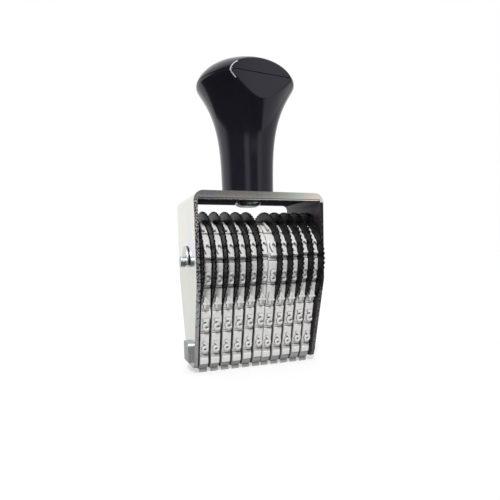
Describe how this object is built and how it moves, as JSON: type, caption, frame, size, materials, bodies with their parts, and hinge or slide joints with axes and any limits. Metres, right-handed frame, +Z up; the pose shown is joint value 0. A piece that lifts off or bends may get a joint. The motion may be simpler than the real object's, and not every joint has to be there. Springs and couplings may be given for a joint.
{
  "type": "numbering machine",
  "caption": "Hand numbering stamp: bent steel frame, black knob handle, toothed number wheels on a cross shaft and rubber digit bands round an anvil.",
  "frame": {"origin": "middle of the printing side: z = 0 is the plane of the block faces under the anvil, x = 0 the middle of the wheel stack, y = 0 the plane of the shaft axis", "axes": "+X along the shaft to the right as seen from the front, -Y towards the front with the flat on the handle, +Z up along the handle"},
  "size_m": [0.039, 0.0262, 0.0811],
  "materials": {
    "plated_steel": "bright zinc plated sheet",
    "black_plastic": "glossy moulded",
    "wheel_plastic": "satin moulded",
    "band_rubber": "light grey, matt",
    "bright_steel": "turned",
    "spring_steel": "bright plated",
    "screw_steel": "plated",
    "brass": "turned"
  },
  "bodies": {
    "stamp": {"frame": "plated_steel", "handle_body": "black_plastic", "handle_cap": "black_plastic", "handle_insert": "brass", "handle_screw": "screw_steel", "lock_washer": "screw_steel", "shaft": "bright_steel", "shaft_clips": "spring_steel", "anvil": "bright_steel", "band_01": "band_rubber", "band_02": "band_rubber", "band_03": "band_rubber", "band_04": "band_rubber", "band_05": "band_rubber", "band_06": "band_rubber", "band_07": "band_rubber", "band_08": "band_rubber", "band_09": "band_rubber", "band_10": "band_rubber", "band_11": "band_rubber"},
    "wheel_01": {"wheel_01": "wheel_plastic"},
    "wheel_02": {"wheel_02": "wheel_plastic"},
    "wheel_03": {"wheel_03": "wheel_plastic"},
    "wheel_04": {"wheel_04": "wheel_plastic"},
    "wheel_05": {"wheel_05": "wheel_plastic"},
    "wheel_06": {"wheel_06": "wheel_plastic"},
    "wheel_07": {"wheel_07": "wheel_plastic"},
    "wheel_08": {"wheel_08": "wheel_plastic"},
    "wheel_09": {"wheel_09": "wheel_plastic"},
    "wheel_10": {"wheel_10": "wheel_plastic"},
    "wheel_11": {"wheel_11": "wheel_plastic"}
  },
  "joints": [
    {"name": "wheel_01_turn", "type": "hinge", "parent": "stamp", "child": "wheel_01", "pos_m": [-0.015, 0, 0.0288], "axis": [1, 0, 0], "continuous": true},
    {"name": "wheel_02_turn", "type": "hinge", "parent": "stamp", "child": "wheel_02", "pos_m": [-0.012, 0, 0.0288], "axis": [1, 0, 0], "continuous": true},
    {"name": "wheel_03_turn", "type": "hinge", "parent": "stamp", "child": "wheel_03", "pos_m": [-0.009, 0, 0.0288], "axis": [1, 0, 0], "continuous": true},
    {"name": "wheel_04_turn", "type": "hinge", "parent": "stamp", "child": "wheel_04", "pos_m": [-0.006, 0, 0.0288], "axis": [1, 0, 0], "continuous": true},
    {"name": "wheel_05_turn", "type": "hinge", "parent": "stamp", "child": "wheel_05", "pos_m": [-0.003, 0, 0.0288], "axis": [1, 0, 0], "continuous": true},
    {"name": "wheel_06_turn", "type": "hinge", "parent": "stamp", "child": "wheel_06", "pos_m": [0, 0, 0.0288], "axis": [1, 0, 0], "continuous": true},
    {"name": "wheel_07_turn", "type": "hinge", "parent": "stamp", "child": "wheel_07", "pos_m": [0.003, 0, 0.0288], "axis": [1, 0, 0], "continuous": true},
    {"name": "wheel_08_turn", "type": "hinge", "parent": "stamp", "child": "wheel_08", "pos_m": [0.006, 0, 0.0288], "axis": [1, 0, 0], "continuous": true},
    {"name": "wheel_09_turn", "type": "hinge", "parent": "stamp", "child": "wheel_09", "pos_m": [0.009, 0, 0.0288], "axis": [1, 0, 0], "continuous": true},
    {"name": "wheel_10_turn", "type": "hinge", "parent": "stamp", "child": "wheel_10", "pos_m": [0.012, 0, 0.0288], "axis": [1, 0, 0], "continuous": true},
    {"name": "wheel_11_turn", "type": "hinge", "parent": "stamp", "child": "wheel_11", "pos_m": [0.015, 0, 0.0288], "axis": [1, 0, 0], "continuous": true}
  ]
}
